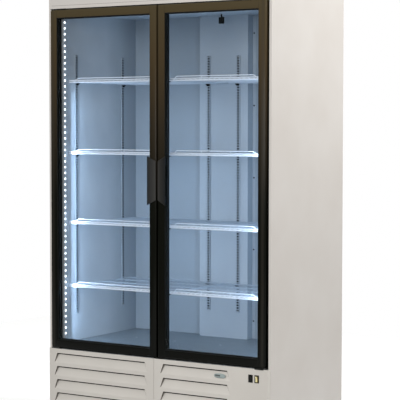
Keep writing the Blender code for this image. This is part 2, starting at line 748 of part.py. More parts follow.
def gasket(label, side, rubber):
    """Magnetic seal ring between the frame's back and the breaker strip."""
    y = (DOOR_BACK + GAP, BREAKER_Y - GAP)
    x0 = meeting_edge(side) + side * GASKET_END
    x1 = side * (DOOR_X1 - GASKET_INSET)
    z0 = DOOR_Z0 + GASKET_END
    z1 = DOOR_Z1 - GASKET_END
    w = GASKET_W
    seal = box(f"{label}_door_gasket", (x0, x1), y, (z0, z1), rubber)
    cut(seal, box("gasket_opening", (x0 + side * w, x1 - side * w), (0, BREAKER_Y + 0.01),
                  (z0 + w, z1 - w)))
    return seal


def pull(label, side, grip):
    """Tapered pull on the meeting stile, with a finger pocket open to the glass side."""
    face = -DOOR_PROUD
    mid = HANDLE_Z
    x0 = meeting_edge(side) + side * HANDLE_EDGE
    x1 = x0 + side * HANDLE_W
    body = box(f"{label}_door_handle", (x0, x1), (face - HANDLE_PROUD, face - GAP),
               (mid - HANDLE_TALL / 2, mid + HANDLE_TALL / 2), grip)
    middle = (x0 + x1) / 2 - body.location.x
    for vert in body.data.vertices:
        if side * (vert.co.x - middle) < 0:
            vert.co.z = math.copysign(HANDLE_SHORT / 2, vert.co.z)
            if vert.co.y < 0:
                vert.co.y += HANDLE_PROUD - HANDLE_THIN
    add_bevel(body, 0.0015, 1)
    cut(body, finger_space(side, face + 0.005))
    return body


# ---- Machinery -------------------------------------------------------------------------------------------
def machinery(black, alu, zinc):
    floor = FOOT_H + PAN_T + GAP
    r = COMP_R
    h = COMP_H
    pts = [(0, h), (r * 0.45, h - 0.004), (r * 0.8, h - 0.022), (r * 0.97, h - 0.050), (r, h - 0.080),
           (r, 0.050), (r * 0.94, 0.024), (r * 0.7, 0.006), (r * 0.5, 0), (0, 0)]
    turned("compressor", pts, (COMP_X, COMP_Y, floor), black, 20)
    coil = box("condenser_coil", (COIL_X - COIL_W / 2, COIL_X + COIL_W / 2),
               (COIL_Y, COIL_Y + COIL_D), (floor + 0.006, floor + 0.006 + COIL_H), alu)
    for side in (-1, 1):
        x = COIL_X + side * COIL_W / 2
        join(coil, box("coil_end", (x - 0.002, x + 0.002), (COIL_Y - 0.004, COIL_Y + COIL_D + 0.004),
                       (floor, floor + COIL_H + 0.012)))
    axis_z = floor + 0.006 + COIL_H / 2
    fan_y = COIL_Y + COIL_D + 0.012
    fan = fan_wheel(COIL_X, fan_y, axis_z, black)
    motor_y = fan_y + FAN_D + GAP
    motor = cylinder("condenser_fan_motor", (COIL_X, motor_y + MOTOR_L / 2, axis_z), MOTOR_R,
                     MOTOR_L, "Y", 20, zinc)
    leg_y = motor_y + MOTOR_L * 0.45
    join(motor, box("motor_leg", (COIL_X - 0.030, COIL_X + 0.030), (leg_y, leg_y + 0.012),
                    (floor, axis_z - MOTOR_R * 0.4)))
    evaporator(alu, black)
    return fan


def fan_wheel(x, y, z, black):
    """Axial fan: a hub and pitched blades about the Y axis."""
    fan = cylinder("condenser_fan", (x, y + FAN_D / 2, z), FAN_HUB, FAN_D, "Y", 20, black)
    span = FAN_R - FAN_HUB / 2
    for i in range(FAN_BLADES):
        turn = Matrix.Rotation(2 * math.pi * i / FAN_BLADES, 4, "Y")
        blade = box("blade", (-0.030, 0.030), (-0.001, 0.001), (0, span))
        lift = Matrix.Translation((0, 0, FAN_HUB / 2 + span / 2))
        pitch = Matrix.Rotation(math.radians(16), 4, "Z")
        home = Matrix.Translation((x, front_y(y + FAN_D / 2), z))
        blade.matrix_world = home @ turn @ lift @ pitch
        join(fan, blade)
    return fan


def evaporator(alu, black):
    """Slim cooling coil and cross-flow blower inside the rear duct."""
    half = DUCT_W / 2 - SKIN - GAP
    y1 = CAV_Y1 - GAP
    z0 = CAV_Z0 + EVAP_Z
    box("evaporator_coil", (-half, half), (DUCT_Y + SKIN + 0.006, y1), (z0, z0 + EVAP_H), alu)
    wheel = half - 0.015
    mid_y = (DUCT_Y + SKIN + CAV_Y1) / 2
    pts = [(0, half), (0.003, half), (0.003, wheel), (BLOWER_R, wheel), (BLOWER_R, -wheel),
           (0.003, -wheel), (0.003, -half), (0, -half)]
    blower = turned("evaporator_fan", pts, (0, mid_y, CAV_Z0 + BLOWER_Z), black, 16)
    blower.rotation_euler = (0, math.pi / 2, 0)


def main():
    clear_scene()
    paint = material("cream painted steel", "d6d2cc", 0.45)
    zinc = material("galvanised sheet", "a8adb0", 0.45, 0.9)
    steel = material("stainless floor sheet", "8d979d", 0.35, 0.9)
    white = material("white enamel", "e3e9ee", 0.4)
    slotted = material("slotted steel strip", "b9c0c4", 0.4, 0.7)
    foam = material("polyurethane foam", "e0cf9a", 0.9)
    black = material("black plastic", "1b1c1a", 0.5)
    gloss = material("black anodised aluminium", "1a1611", 0.2, 0.3)
    rubber = material("black rubber", "161616", 0.7)
    grip = material("dark grey moulded grip", "3a3a37", 0.5)
    glass = material("insulated glass", "e6f0f2", 0.02, 0.0, 1.0)
    amber = material("amber rocker lens", "e0a020", 0.35)
    alu = material("aluminium fins", "b4b8ba", 0.4, 0.9)
    lamp = material("light bar diffuser", "f2f6fa", 0.4)

    cabinet_shell(paint, zinc)
    base(zinc, rubber)
    insulated_body(foam, white, steel, black)
    pilasters(slotted)
    shelves(white)
    small_fittings(lamp, black)
    grilles_and_switches(paint, black, amber)
    for label, side in (("left", -1), ("right", 1)):
        hinge_plates(label, side, black)
        door(label, side, gloss, glass, rubber, grip)
    door_stop(black)
    machinery(black, alu, zinc)


main()
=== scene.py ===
"""Looks for the two-door glass merchandiser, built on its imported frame.

Every length is in metres. Places come from the frame's nodes, so a piece fits the solid it dresses.
"""

import json
import math

import bmesh
import bpy
from mathutils import Matrix, Vector


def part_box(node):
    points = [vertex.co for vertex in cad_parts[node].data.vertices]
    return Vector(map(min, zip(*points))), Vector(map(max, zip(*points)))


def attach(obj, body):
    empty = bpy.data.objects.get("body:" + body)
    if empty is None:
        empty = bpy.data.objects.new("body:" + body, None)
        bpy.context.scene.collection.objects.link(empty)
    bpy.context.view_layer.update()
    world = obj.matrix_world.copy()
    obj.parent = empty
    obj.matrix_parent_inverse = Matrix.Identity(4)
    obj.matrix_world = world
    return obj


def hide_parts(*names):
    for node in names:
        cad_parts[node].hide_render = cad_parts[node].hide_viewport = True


MM = 0.001
WELD = 0.00002                  # corners closer than this are one corner

# ---- Camera and studio ---------------------------------------------------------------------
CAMERA_AZIMUTH = 32.763         # degrees round from straight in front, towards the right
CAMERA_DIP = 2.896              # degrees below level
CAMERA_ROLL = 0.05
CAMERA_PLACE = (3.7807, -5.8206, 1.4304)
LENS_MM = 134.3
SENSOR_MM = 36
SKY_LOW, SKY_HIGH = 0.09, 0.56  # room light from below and from above
SOFTBOXES = {                   # place, aim, width and height, watts
    "front_softbox": ((0.9, -4.6, 2.1), (0.0, 0.0, 0.7), (3.0, 1.6), 118),
    "side_softbox": ((3.2, 0.8, 3.4), (0.6, 0.1, 1.4), (1.4, 1.4), 104),
}
JAMB_LIGHT_IN = 32 * MM         # from the liner's wall
JAMB_LIGHT_BACK = 4 * MM        # behind the light bar
JAMB_LIGHT_W = 12 * MM
JAMB_LIGHT_FOOT = 30 * MM       # its lower end above the liner's floor
JAMB_LIGHT_HEAD = 380 * MM      # its upper end below the liner's ceiling
JAMB_LIGHT_AIM = (0.30, 0.34)   # inwards and back
JAMB_LIGHT_WATTS = 3.5
JAMB_LIGHT_SPREAD = 175         # degrees
FLOOR_HALF = 3.2
FLOOR_T = 0.02

# ---- Door sizes ----------------------------------------------------------------------------
PANE_T = 4 * MM
SPACER_W = 13 * MM              # black spacer and printed border, from the glass edge inwards
LIP_COVER = 7 * MM              # glass hidden under the frame's lip
GLAZING_BEAD = 2.6 * MM
JOINT_W = 0.8 * MM              # hairline where a rail butts against a stile
JOINT_END = 5 * MM              # it stops short of the frame's rounded edge
# painted highlight's fade in, full from, full to and fade out, back from the leaf's outer edge
EDGE_HIGHLIGHT_BAND = (24 * MM, 18 * MM, 9 * MM, 5 * MM)
CAP_FROM_EDGE = (52 * MM, 8 * MM)   # hinge cap's two ends, from the leaf's outer edge
CAP_Y = (-4.5 * MM, -0.3 * MM)      # its front and back, from the grille's face
CAP_Z = (-9.5 * MM, -0.8 * MM)      # its bottom and top, from the door frame's underside

# ---- Header, back sheet and grille sizes ---------------------------------------------------
FOLD_UP = 14.5 * MM             # fold line above the header's lower edge
FOLD_H = 1.2 * MM
FOLD_END = 4 * MM
BACK_SCREW_ROWS = 9
BACK_SCREW_IN = 14 * MM         # from the back sheet's sides
BACK_SCREW_END = 20 * MM        # from its top and bottom
BACK_SCREW_R = 2.2 * MM
LOUVRE_PITCH = 62 * MM          # grille openings, as they are cut in the solid
LOUVRE_H = 45 * MM
LOUVRE_TOP = 20.7 * MM          # grille's top edge to the first opening
LOUVRE_TAPER = 16 * MM          # how far each end of an opening leans in
LOUVRE_MARGIN = 34 * MM         # plain sheet beside the openings
LOUVRE_ROWS = 5
SWITCH_END = 197 * MM           # plain sheet at the switches' end of the right grille
RETURN_W = (4.0 * MM, 1.2 * MM)     # turned-in blade end, at the left and right of an opening
RETURN_T = 0.6 * MM
FILTER_GAP = 6 * MM             # clear of the blades' backs
FILTER_T = 4 * MM
FILTER_LAP = 4 * MM             # past the openings at each side
FILTER_FOOT, FILTER_HEAD = 12 * MM, 10 * MM
BADGE_IN = 250 * MM             # blank plate's middle, from the right grille's end and top
BADGE_DOWN = 46 * MM
BADGE_HALF = (29 * MM, 10 * MM)
BADGE_EDGE = 28                 # corners round its rim
BADGE_INSET_X = (-0.78, 0.10)   # darker inset, as shares of the plate's half sizes
BADGE_INSET_Z = (-0.30, 0.42)

# ---- Cold space sizes ----------------------------------------------------------------------
DUCT_FLANGE = 16 * MM
FLANGE_T = 1 * MM
FLANGE_END = 2 * MM
DUCT_SCREWS = 5
DUCT_SCREW_END = 85 * MM        # from the duct's top and bottom
SCREW_R = 4 * MM
TRAY_SCREW_X = (0.20, 0.42)     # from each side of the tray
TRAY_SCREW_Y = 0.32
TRAY_SCREW_R = 5 * MM
SLOT_PITCH = 12.7 * MM
SLOT_W = 12 * MM                # wider than punched, so that the slots can be seen
SLOT_H = 7.4 * MM
STRIP_W = 20 * MM
STRIP_T = 4 * MM
STRIP_SHEET = 1.2 * MM
STRIP_RECESS = (0.2 * MM, 0.8 * MM)     # painted shade behind the slots, from the wall
STRIP_SCREW_IN = 6 * MM
STRIP_SCREW_R = 3 * MM
CLIP_H = 10 * MM
CLIP_ROOT = 3 * MM
CLIP_TIP = 2.5 * MM
CLIP_HALF = 6 * MM
CLIP_GAP = 0.3 * MM             # under the shelf that it carries
LAMP_PITCH = 27 * MM
LAMP_R = 4.6 * MM
LAMP_Y = 8 * MM                 # behind the light bar's front

# ---- Shelf sizes ---------------------------------------------------------------------------
SHELF_LEVELS = 4
RIM_WIRE = 6 * MM
STAY_WIRE = 5 * MM
STAY_SHARES = (0.03, 0.27, 0.52, 0.77)      # of the depth, front to back
DECK_WIRE = 2.6 * MM
DECK_PITCH = 25 * MM
DECK_NOSE = (1.4 * MM, 6 * MM, 9 * MM)      # deck wire's bends behind the front edge
LEDGE_UP = 11.5 * MM            # second front wire above the shelf's underside
GUARD_WIRE = 4 * MM
GUARD_Y = 20.5 * MM             # behind the front edge
GUARD_LIFT = 2.2 * MM           # crown of the wire above the solid's plain guard
GUARD_END = 4 * MM              # its ends, in from the shelf's sides
GUARD_CURVE = ((0.0, 0.0), (0.30, 0.10), (0.70, 0.85), (1.0, 1.0))      # run and rise of its bend
GUARD_BEND = 35 * MM            # run of the right-hand bend
GUARD_BEND_LEFT = {"left": 46 * MM, "right": 22 * MM}   # run of the left-hand one, by shelf side
GUARD_SHORT = 60 * MM           # right shelves: guard stops short of the jamb light
GUARD_POST_EVERY = 6            # deck wires from one guard post to the next

# ---- Coil sizes ----------------------------------------------------------------------------
FIN_T = 0.4 * MM
FIN_SETBACK = 0.5 * MM
COIL_PLATE = 1.2 * MM
COIL_TUBE_R = 4 * MM

TURN_SIDES = 12                 # faces round a turned screw head or lens

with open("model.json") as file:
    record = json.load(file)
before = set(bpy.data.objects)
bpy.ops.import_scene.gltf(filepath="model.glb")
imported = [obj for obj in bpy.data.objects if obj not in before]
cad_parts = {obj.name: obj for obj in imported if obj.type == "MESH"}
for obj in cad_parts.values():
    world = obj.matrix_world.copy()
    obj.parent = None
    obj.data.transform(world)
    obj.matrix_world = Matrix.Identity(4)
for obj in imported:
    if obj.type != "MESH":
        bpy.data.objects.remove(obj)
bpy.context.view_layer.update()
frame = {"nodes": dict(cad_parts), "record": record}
NODES = frame["nodes"]
RECORD = frame["record"]
BODY_OF = {node: body for body, nodes in RECORD["behaviour"]["bodies"].items() for node in nodes}
SIDES = (("left", -1), ("right", 1))


# ---- Node and colour helpers ---------------------------------------------------------------
def linear(hex_colour):
    """sRGB hex to the linear RGBA that the shader takes."""
    values = [int(hex_colour[i:i + 2], 16) / 255 for i in (0, 2, 4)]
    return [v / 12.92 if v <= 0.04045 else ((v + 0.055) / 1.055) ** 2.4 for v in values] + [1.0]


def node(tree, kind, values=None, links=None, **settings):
    """Adds one node: settings are its properties, values its numbers, links what feeds it."""
    made = tree.nodes.new(kind)
    for key, value in settings.items():
        setattr(made, key, value)
    for key, value in (values or {}).items():
        made.inputs[key].default_value = value
    for key, source in (links or {}).items():
        tree.links.new(source, made.inputs[key])
    return made


def finish(name, colour, roughness, metallic=0.0, **sockets):
    """A material whose constant numbers sit on the shader's own sockets."""
    material = bpy.data.materials.new(name)
    material.use_nodes = True
    shader = material.node_tree.nodes["Principled BSDF"]
    shader.inputs["Base Color"].default_value = linear(colour)
    shader.inputs["Roughness"].default_value = roughness
    shader.inputs["Metallic"].default_value = metallic
    for key, value in sockets.items():
        shader.inputs[key.replace("_", " ")].default_value = value
    material.diffuse_color = linear(colour)
    return material, material.node_tree, shader


def mottle(tree, shader, size, light, dark, stretch=(1, 1, 1)):
    """Lets the colour drift between two near shades over patches of a real size."""
    place = node(tree, "ShaderNodeTexCoord")
    squeeze = node(tree, "ShaderNodeMapping", {"Scale": stretch},
                   {"Vector": place.outputs["Object"]})
    cloud = node(tree, "ShaderNodeTexNoise", {"Scale": 1 / size, "Detail": 3.0},
                 {"Vector": squeeze.outputs["Vector"]})
    blend = node(tree, "ShaderNodeValToRGB", links={"Fac": cloud.outputs["Fac"]})
    blend.color_ramp.elements[0].position = 0.3
    blend.color_ramp.elements[1].position = 0.7
    blend.color_ramp.elements[0].color = linear(dark)
    blend.color_ramp.elements[1].color = linear(light)
    tree.links.new(blend.outputs["Color"], shader.inputs["Base Color"])
    return place, blend


def relief(tree, shader, place, size, depth, strength=0.3, stretch=(1, 1, 1)):
    """Fine bumps of a real size and depth."""
    squeeze = node(tree, "ShaderNodeMapping", {"Scale": stretch},
                   {"Vector": place.outputs["Object"]})
    grit = node(tree, "ShaderNodeTexNoise", {"Scale": 1 / size, "Detail": 2.0},
                {"Vector": squeeze.outputs["Vector"]})
    bump = node(tree, "ShaderNodeBump", {"Distance": depth, "Strength": strength},
                {"Height": grit.outputs["Fac"]})
    tree.links.new(bump.outputs["Normal"], shader.inputs["Normal"])


# ---- Materials -----------------------------------------------------------------------------
def powder_coated_steel(name, light, dark, roughness=0.42):
    """Coating powder baked on sheet steel, cream or black: satin, with a faint orange-peel skin."""
    material, tree, shader = finish(name, light, roughness, IOR=1.5)
    place, _ = mottle(tree, shader, 260 * MM, light, dark)
    relief(tree, shader, place, 2.5 * MM, 0.05 * MM)
    return material


def anodised_bronze():
    """Dark bronze anodised aluminium extrusion with die lines running along its length, and a
    painted reflection: brown towards the top, near black below."""
    material, tree, shader = finish("dark_bronze_anodised_aluminium", "15130f", 0.30,
                                    Specular_IOR_Level=0.06, Coat_Weight=0.03, Coat_Roughness=0.12)
    place = node(tree, "ShaderNodeTexCoord")
    parts = node(tree, "ShaderNodeSeparateXYZ", links={"Vector": place.outputs["Object"]})
    lo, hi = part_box("left_door_frame")
    height = node(tree, "ShaderNodeMapRange", {"From Min": lo[2], "From Max": hi[2]},
                  {"Value": parts.outputs["Z"]})
    # painted reflection: brown towards the top, fading to near black below
    tone = node(tree, "ShaderNodeValToRGB", links={"Fac": height.outputs["Result"]})
    tone.color_ramp.elements[0].color = linear("050603")
    tone.color_ramp.elements[1].color = linear("4f4530")
    for share, shade in ((0.45, "0e0f09"), (0.66, "312a1f"), (0.85, "473b28")):
        tone.color_ramp.elements.new(share).color = linear(shade)
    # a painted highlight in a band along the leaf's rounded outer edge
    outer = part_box("right_door_frame")[1][0]
    fade_in, full_from, full_to, fade_out = (outer - reach for reach in EDGE_HIGHLIGHT_BAND)
    away = node(tree, "ShaderNodeMath", links={0: parts.outputs["X"]}, operation="ABSOLUTE")
    band = node(tree, "ShaderNodeValToRGB", links={"Fac": away.outputs["Value"]})
    band.color_ramp.elements[0].position = fade_in
    band.color_ramp.elements[0].color = (0, 0, 0, 1)
    band.color_ramp.elements[1].position = fade_out
    band.color_ramp.elements[1].color = (0, 0, 0, 1)
    for spot in (full_from, full_to):
        band.color_ramp.elements.new(spot).color = (0.35, 0.35, 0.35, 1)
    edge_highlight = node(tree, "ShaderNodeMixRGB", {"Color2": linear("3a362f")},
                  {"Fac": band.outputs["Color"], "Color1": tone.outputs["Color"]})
    tree.links.new(edge_highlight.outputs["Color"], shader.inputs["Base Color"])
    relief(tree, shader, place, 1.2 * MM, 0.02 * MM, 0.2, (1, 1, 0.02))
    return material


def moulded_plastic(name, light, dark, roughness=0.5, grain=1.4 * MM, **sockets):
    """Injection-moulded ABS, or a finish as even: fine spark-eroded grain, drawn a little coarse so
    that it shows."""
    material, tree, shader = finish(name, light, roughness, IOR=1.5, **sockets)
    place, _ = mottle(tree, shader, 45 * MM, light, dark)
    relief(tree, shader, place, grain, 0.08 * MM, 0.35)
    return material


def grip_nylon():
    """Glass-filled nylon, moulded, with painted light: a painted reflection lighter where the two
    pulls meet, and painted shade darker towards the glass."""
    material, tree, shader = finish("charcoal_glass_filled_nylon", "2b2b29", 0.42,
                                    Specular_IOR_Level=0.25)
    left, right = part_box("left_door_handle"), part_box("right_door_handle")
    seam = (left[1][0] + right[0][0]) / 2
    place = node(tree, "ShaderNodeTexCoord")
    parts = node(tree, "ShaderNodeSeparateXYZ", links={"Vector": place.outputs["Object"]})
    away = node(tree, "ShaderNodeMath", {1: seam}, {0: parts.outputs["X"]}, operation="SUBTRACT")
    reach = node(tree, "ShaderNodeMath", links={0: away.outputs["Value"]}, operation="ABSOLUTE")
    share = node(tree, "ShaderNodeMapRange", {"From Max": right[1][0] - seam},
                 {"Value": reach.outputs["Value"]})
    # painted reflection near the seam, painted shade towards the glass
    tone = node(tree, "ShaderNodeValToRGB", links={"Fac": share.outputs["Result"]})
    tone.color_ramp.elements[0].color = linear("3a3835")
    tone.color_ramp.elements[1].color = linear("0c1012")
    tone.color_ramp.elements.new(0.5).color = linear("242422")
    tree.links.new(tone.outputs["Color"], shader.inputs["Base Color"])
    relief(tree, shader, place, 1.8 * MM, 0.08 * MM, 0.35)
    return material


def epoxy_dipped_wire():
    """White epoxy over welded wire, with painted light: a glow and a bright coat along the front
    edge, where the lamps catch it, and painted shade that greys it further back."""
    material, tree, shader = finish("white_epoxy_coated_wire", "eef4fb", 0.3, IOR=1.5,
                                    Emission_Strength=0.22)
    lo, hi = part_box("shelf_left_1")
    place = node(tree, "ShaderNodeTexCoord")
    parts = node(tree, "ShaderNodeSeparateXYZ", links={"Vector": place.outputs["Object"]})
    inward = node(tree, "ShaderNodeMapRange", {"From Min": lo[1], "From Max": hi[1]},
                  {"Value": parts.outputs["Y"]})
    # painted light: a bright coat and a glow along the front edge; painted shade further back
    coat = node(tree, "ShaderNodeValToRGB", links={"Fac": inward.outputs["Result"]})
    coat.color_ramp.elements[0].color = linear("e6edf5")
    coat.color_ramp.elements[1].color = linear("b9c4cf")
    glow = node(tree, "ShaderNodeValToRGB", links={"Fac": inward.outputs["Result"]})
    glow.color_ramp.elements[0].color = linear("dbe8fa")
    glow.color_ramp.elements[1].color = linear("000000")
    for share, shade, shine in ((0.06, "e6edf5", "dbe8fa"), (0.12, "ccd6e0", "000000")):
        coat.color_ramp.elements.new(share).color = linear(shade)
        glow.color_ramp.elements.new(share).color = linear(shine)
    tree.links.new(coat.outputs["Color"], shader.inputs["Base Color"])
    tree.links.new(glow.outputs["Color"], shader.inputs["Emission Color"])
    relief(tree, shader, place, 5 * MM, 0.1 * MM, 0.25)
    return material


def enamelled_liner(name, rear_shade):
    """Cool white enamel on aluminium: soft sheen and a pressed stucco that is barely seen.
    rear_shade is how far painted shade darkens it towards the back."""
    material, tree, shader = finish(name, "c9d3da", 0.38, IOR=1.5)
    place, drift = mottle(tree, shader, 180 * MM, "d2dae0", "c6ced5")
    lo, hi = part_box("inner_liner")
    parts = node(tree, "ShaderNodeSeparateXYZ", links={"Vector": place.outputs["Object"]})
    # painted shade: darker towards the back of the cabinet
    shade_from = 0.4 * lo[1] + 0.6 * hi[1]
    inward = node(tree, "ShaderNodeMapRange",
                  {"From Min": shade_from, "From Max": hi[1], "To Max": rear_shade},
                  {"Value": parts.outputs["Y"]})
    shaded_rear = node(tree, "ShaderNodeMixRGB", {"Color2": linear("95a0a9")},
                {"Fac": inward.outputs["Result"], "Color1": drift.outputs["Color"]})
    tree.links.new(shaded_rear.outputs["Color"], shader.inputs["Base Color"])
    relief(tree, shader, place, 4 * MM, 0.08 * MM, 0.2)
    return material


def brushed_sheet(name, light, dark, roughness, stretch, metallic=1.0):
    """Bare metal with the fine lines of its rolling along one way, or none where the stretch is
    even."""
    material, tree, shader = finish(name, light, roughness, metallic)
    place, _ = mottle(tree, shader, 3 * MM, light, dark, stretch)
    relief(tree, shader, place, 1.5 * MM, 0.03 * MM, 0.25, stretch)
    return material


def galvanised_sheet():
    """Hot-dip galvanised steel: grey zinc crystals about 14 mm across, each turned its own way."""
    material, tree, shader = finish("hot_dip_galvanised_steel", "a5aaac", 0.42, 0.9)
    place = node(tree, "ShaderNodeTexCoord")
    crystals = node(tree, "ShaderNodeTexVoronoi", {"Scale": 1 / (14 * MM)},
                    {"Vector": place.outputs["Object"]})
    tone = node(tree, "ShaderNodeValToRGB", links={"Fac": crystals.outputs["Color"]})
    tone.color_ramp.elements[0].color = linear("90979a")
    tone.color_ramp.elements[1].color = linear("b7bcbd")
    tree.links.new(tone.outputs["Color"], shader.inputs["Base Color"])
    rough = node(tree, "ShaderNodeMapRange", {"To Min": 0.32, "To Max": 0.52},
                 {"Value": crystals.outputs["Color"]})
    tree.links.new(rough.outputs["Result"], shader.inputs["Roughness"])
    relief(tree, shader, place, 6 * MM, 0.05 * MM, 0.15)
    return material


def rubber(name, light, dark):
    """Black rubber or soft PVC, extruded or moulded: matt, slightly dusty."""
    material, tree, shader = finish(name, light, 0.75, Specular_IOR_Level=0.3)
    place, _ = mottle(tree, shader, 30 * MM, light, dark)
    relief(tree, shader, place, 1.2 * MM, 0.05 * MM, 0.3)
    return material


def clear_pane():
    """Float glass with a heat-saving coat: it holds back a little light and throws back a little
    more."""
    material, tree, shader = finish("coated_float_glass", "10191c", 0.03, IOR=1.5, Alpha=0.05)
    place, _ = mottle(tree, shader, 300 * MM, "121c1f", "0e1719")
    relief(tree, shader, place, 120 * MM, 0.05 * MM, 0.05)
    material.surface_render_method = "BLENDED"
    return material


def lamp_lens():
    """Clear silicone lens over each light-emitting chip, glowing cold white."""
    material, tree, shader = finish("glowing_silicone_lens", "f4f9ff", 0.25, Emission_Strength=5.0)
    shader.inputs["Emission Color"].default_value = linear("eaf4ff")
    place, _ = mottle(tree, shader, 2 * MM, "ffffff", "eef6ff")
    relief(tree, shader, place, 1 * MM, 0.02 * MM, 0.1)
    return material


def amber_lens():
    """Amber polycarbonate lit from inside: pale where the lamp sits, dark amber away from it."""
    material, tree, shader = finish("amber_polycarbonate", "d9b65a", 0.28, IOR=1.58,
                                    Emission_Strength=0.30)
    lo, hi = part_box("rocker_light")
    place = node(tree, "ShaderNodeTexCoord")
    parts = node(tree, "ShaderNodeSeparateXYZ", links={"Vector": place.outputs["Object"]})
    level = node(tree, "ShaderNodeMapRange", {"From Min": lo[0], "From Max": hi[0]},
                 {"Value": parts.outputs["X"]})
    glow = node(tree, "ShaderNodeValToRGB", links={"Fac": level.outputs["Result"]})
    glow.color_ramp.elements[0].color = linear("c2b67c")
    glow.color_ramp.elements[1].color = linear("3a300d")
    glow.color_ramp.elements.new(0.38).color = linear("ece6b8")
    glow.color_ramp.elements.new(0.72).color = linear("9a8437")
    tree.links.new(glow.outputs["Color"], shader.inputs["Base Color"])
    tree.links.new(glow.outputs["Color"], shader.inputs["Emission Color"])
    relief(tree, shader, place, 0.8 * MM, 0.03 * MM, 0.2)
    return material


def cut_foam():
    """Rigid polyurethane foam: pale yellow, with fine closed cells where it was trimmed."""
    material, tree, shader = finish("rigid_polyurethane_foam", "e2d3a2", 0.95)
    place, _ = mottle(tree, shader, 25 * MM, "e6d8aa", "d6c48c")
    relief(tree, shader, place, 1.5 * MM, 0.4 * MM, 0.6)
    return material


PAINT = powder_coated_steel("cream_powder_coated_steel", "dcd7d1", "d6d0c9")
# painted shade: a dark strip where the header's fold lies in shade
FOLD_SHADE = moulded_plastic("painted_fold_shade", "8f8b83", "87837b", 0.7)
GRILLE_PAINT = powder_coated_steel("cream_powder_coated_louvre_steel", "dad5cd", "d3cec6")
BRONZE = anodised_bronze()
BORDER = moulded_plastic("black_ceramic_border", "0b0e0b", "080a08", 0.45,
                         Specular_IOR_Level=0.2)
BLACK_ABS = moulded_plastic("black_abs", "0d0e0c", "0a0b09", Specular_IOR_Level=0.15)
GRIP = grip_nylon()
BLACK_ENAMEL = powder_coated_steel("black_baked_enamel", "15150f", "101010", 0.38)
WIRE = epoxy_dipped_wire()
LINER = enamelled_liner("cool_white_enamelled_aluminium", 1.0)
DUCT = enamelled_liner("cool_white_enamelled_duct", 0.75)
TRAY = brushed_sheet("brushed_stainless_floor_sheet", "98a2a8", "8a949a", 0.5, (0.05, 1, 1), 0.6)
STRIP = brushed_sheet("rolled_zinc_plated_strip", "a9b3bb", "9ba5ad", 0.5, (1, 1, 0.05), 0.1)
# painted shade: near black behind the strips' slots; it also colours the clips and the duct's screw
# heads
SLOT_DARK = moulded_plastic("shadowed_strip_recess", "14181c", "101417", 0.8,
                            Specular_IOR_Level=0.1)
ZINC = galvanised_sheet()
SCREW_METAL = brushed_sheet("zinc_plated_screw", "c4c8cb", "aab0b4", 0.3, (1, 1, 1))
GASKET = rubber("extruded_pvc_gasket", "1a1b1a", "131413")
FOOT_RUBBER = rubber("moulded_foot_rubber", "1d1d1b", "151514")
PANE = clear_pane()
LAMP = lamp_lens()
LIGHT_CHANNEL = moulded_plastic("pale_light_channel", "c4cacf", "b6bdc3", 0.45)
AMBER = amber_lens()
FOAM = cut_foam()
FIN = brushed_sheet("rolled_aluminium_fin", "b9bdbf", "a2a7aa", 0.36, (1, 1, 0.1))
COPPER = brushed_sheet("drawn_copper_tube", "b5754c", "9c613d", 0.32, (1, 1, 1))
# painted shade: the turned-in louvre ends are dark as the shade inside each opening
LOUVRE_SHADE = moulded_plastic("shaded_louvre_return", "5b554d", "504a43", 0.7,
                               Specular_IOR_Level=0.1)
# dust filter, near black so that it also serves as painted shade behind the louvres
FILTER = moulded_plastic("open_cell_filter_foam", "1d1f1e", "151716", 0.9, 2.2 * MM,
                         Specular_IOR_Level=0.1)
BADGE_INSET = moulded_plastic("dark_badge_inset", "565c5b", "4c5251", 0.35)
BADGE = moulded_plastic("pale_blank_badge", "a4b0ae", "94a19f", 0.3)


# ---- Mesh helpers --------------------------------------------------------------------------
def piece(name, mesh_data, materials, body, bevel=0.0, steps=2, smooth=35):
    """Puts built geometry into the scene as one named piece that rides on a body."""
    mesh = bpy.data.meshes.new(name)
    mesh_data.to_mesh(mesh)
    mesh_data.free()
    for material in materials:
        mesh.materials.append(material)
    mesh.polygons.foreach_set("use_smooth", [True] * len(mesh.polygons))
    mesh.set_sharp_from_angle(angle=math.radians(smooth))
    made = bpy.data.objects.new(name, mesh)
    bpy.context.scene.collection.objects.link(made)
    if bevel:
        soften = made.modifiers.new("softened_edges", "BEVEL")
        soften.width = bevel
        soften.segments = steps
        soften.limit_method = "ANGLE"
        soften.angle_limit = math.radians(40)
        soften.harden_normals = True
    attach(made, body)
    return made


def formed(name, material, bevel, steps=2):
    """A node's own shape with the small radii that its making leaves on every edge."""
    shape = bmesh.new()
    shape.from_mesh(NODES[name].data)
    bmesh.ops.remove_doubles(shape, verts=shape.verts, dist=WELD)
    bmesh.ops.dissolve_limit(shape, angle_limit=math.radians(0.5), verts=shape.verts,
                             edges=shape.edges)
    for face in shape.faces:
        face.material_index = 0
    made = piece(name + "_formed", shape, [material], BODY_OF[name], bevel, steps)
    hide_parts(name)


def block(shape, lo, hi, index=0):
    """Adds a rectangular member to a piece's mesh."""
    middle = [(a + b) / 2 for a, b in zip(lo, hi)]
    size = [abs(b - a) for a, b in zip(lo, hi)]
    grid = Matrix.Translation(middle) @ Matrix.Diagonal((*size, 1))
    made = bmesh.ops.create_cube(shape, size=1.0, matrix=grid)
    for vert in made["verts"]:
        for face in vert.link_faces:
            face.material_index = index


